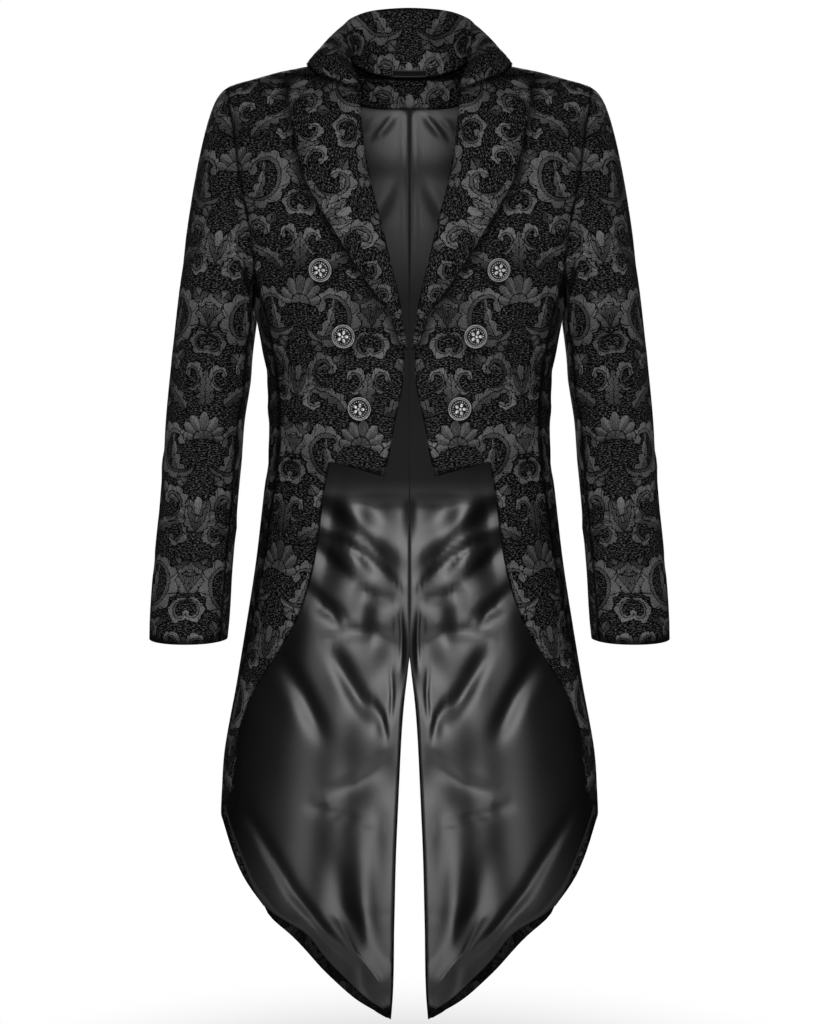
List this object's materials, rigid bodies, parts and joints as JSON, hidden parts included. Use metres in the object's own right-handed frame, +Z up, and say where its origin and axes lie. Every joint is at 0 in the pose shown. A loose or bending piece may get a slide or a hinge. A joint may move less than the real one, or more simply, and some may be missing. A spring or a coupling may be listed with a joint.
{
  "type": "tailcoat",
  "caption": "Black brocade tailcoat with wide peaked lapels, a tall rolled collar, a cutaway front, long tails with a centre vent, satin lining and domed metal buttons.",
  "frame": {"origin": "on the coat's centre plane, level with the nape and over the shoulders' ridge, where a wearer's or a hanger's shoulders hold it", "axes": "+Z up, towards the collar; the front faces -Y; +X is the wearer's left; the coat is mirrored about X = 0"},
  "size_m": [0.6038, 0.24, 1.234],
  "materials": {
    "brocade": "matt black damask brocade with lighter satin figures",
    "black_satin": "glossy black satin",
    "woven_tab": "matt woven tab, left bare",
    "antique_silver": "antique silver plate, dark in its hollows"
  },
  "bodies": {
    "root": {"front_left": "brocade", "side_left": "brocade", "back_left": "brocade", "sleeve_upper_left": "brocade", "sleeve_under_left": "brocade", "lapel_left": "brocade", "lining_left": "black_satin", "button_1_left": "antique_silver", "button_2_left": "antique_silver", "button_3_left": "antique_silver", "front_right": "brocade", "side_right": "brocade", "back_right": "brocade", "sleeve_upper_right": "brocade", "sleeve_under_right": "brocade", "lapel_right": "brocade", "lining_right": "black_satin", "button_1_right": "antique_silver", "button_2_right": "antique_silver", "button_3_right": "antique_silver", "collar": "brocade", "neck_facing": "brocade", "label": "woven_tab"}
  },
  "joints": []
}
